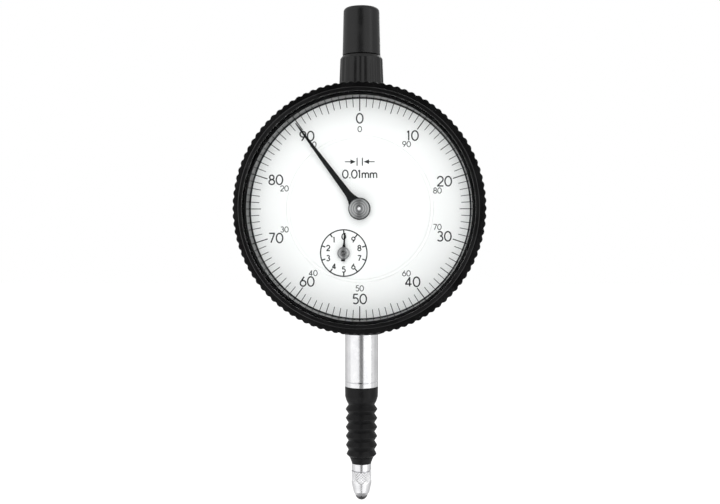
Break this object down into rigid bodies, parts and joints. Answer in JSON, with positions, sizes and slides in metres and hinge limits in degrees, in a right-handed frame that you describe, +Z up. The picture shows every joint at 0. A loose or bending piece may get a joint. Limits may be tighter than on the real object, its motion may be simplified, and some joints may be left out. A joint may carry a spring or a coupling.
{
  "type": "plunger dial indicator",
  "caption": "Round dial indicator with a plain clamping stem, a bellows boot over a sliding spindle, a knurled turning bezel and a lug on the back.",
  "frame": {"origin": "on the stem's axis, on the underside of the case, where the stem begins", "axes": "+Z up along the stem towards the spindle cap, +X to the reader's right, -Y towards the reader"},
  "size_m": [0.0582, 0.0381, 0.1191],
  "materials": {
    "black_case": "satin black coating on die-cast metal",
    "black_bezel": "glossy black moulded bezel",
    "black_cap": "black moulded plastic",
    "cast_back": "satin blasted die casting",
    "polished_steel": "ground and polished steel",
    "carbide": "polished hard metal ball",
    "dial_white": "matt white lacquer with printed graduations",
    "crystal_clear": "clear acrylic window",
    "pointer_black": "matt black lacquer",
    "turned_boss": "fine turned metal",
    "boot_rubber": "black nitrile rubber",
    "movement_brass": "milled brass",
    "movement_steel": "hardened steel",
    "spring_steel": "blued spring wire",
    "jewel_red": "synthetic ruby"
  },
  "bodies": {
    "case": {"case_body": "black_case", "lug_back": "cast_back", "back_gasket": "boot_rubber", "back_screws": "polished_steel", "stem": "polished_steel", "stem_bushes": "movement_brass", "upper_bush": "movement_brass", "bezel_snap_wire": "spring_steel", "bezel_seal": "boot_rubber", "boot": "boot_rubber", "dial": "dial_white", "dial_posts": "movement_brass", "main_plate": "movement_brass", "plate_screws": "movement_steel", "upper_bridge": "movement_brass", "bridge_pillars": "movement_brass", "bridge_screws": "movement_steel", "rear_cock": "movement_brass", "cock_pillars": "movement_brass", "cock_screws": "movement_steel", "jewel_bearings": "jewel_red", "hairspring": "spring_steel", "hairspring_stud": "movement_steel", "guide_rail": "movement_brass", "rest_buffer": "boot_rubber", "return_spring": "spring_steel", "spring_anchor": "movement_steel", "fluted_collar": "black_cap"},
    "plunger": {"spindle": "polished_steel", "guide_pin": "polished_steel", "contact_point": "polished_steel", "contact_ball": "carbide"},
    "counter_train": {"counter_arbor": "movement_steel", "rack_pinion": "movement_steel", "counter_wheel": "movement_brass", "counter_hand": "pointer_black", "counter_boss": "turned_boss"},
    "centre_train": {"centre_pinion": "movement_steel", "pointer": "pointer_black", "pointer_boss": "turned_boss"},
    "takeup_train": {"takeup_arbor": "movement_steel", "takeup_wheel": "movement_brass", "hairspring_collet": "movement_brass"},
    "bezel_group": {"bezel": "black_bezel", "crystal": "crystal_clear", "crystal_gasket": "boot_rubber", "dial_ring": "dial_white", "dial_retainer": "black_cap"},
    "top_cap": {"spindle_cap": "black_cap"}
  },
  "joints": [
    {"name": "spindle_slide", "type": "slide", "parent": "case", "child": "plunger", "axis": [0, 0, 1], "range_m": [0, 0.0104], "deforming": ["boot", "return_spring"]},
    {"name": "counter_turn", "type": "hinge", "parent": "case", "child": "counter_train", "pos_m": [-0.00375, 0, 0.01966], "axis": [0, 1, 0], "range_deg": [-376, 1]},
    {"name": "pointer_turn", "type": "hinge", "parent": "case", "child": "centre_train", "pos_m": [0, 0, 0.03], "axis": [0, 1, 0], "range_deg": [-1, 3750]},
    {"name": "takeup_turn", "type": "hinge", "parent": "case", "child": "takeup_train", "pos_m": [0.00375, 0, 0.04034], "axis": [0, 1, 0], "range_deg": [-376, 1]},
    {"name": "bezel_turn", "type": "hinge", "parent": "case", "child": "bezel_group", "pos_m": [0, 0, 0.03], "axis": [0, 1, 0], "continuous": true},
    {"name": "cap_lift", "type": "slide", "parent": "case", "child": "top_cap", "axis": [0, 0, 1], "range_m": [0, 0.015]}
  ],
  "couplings": [
    {"joint": "counter_turn", "follows": "spindle_slide", "rad_per_m": -628.32},
    {"joint": "pointer_turn", "follows": "spindle_slide", "rad_per_m": 6283.2},
    {"joint": "takeup_turn", "follows": "spindle_slide", "rad_per_m": -628.32}
  ]
}
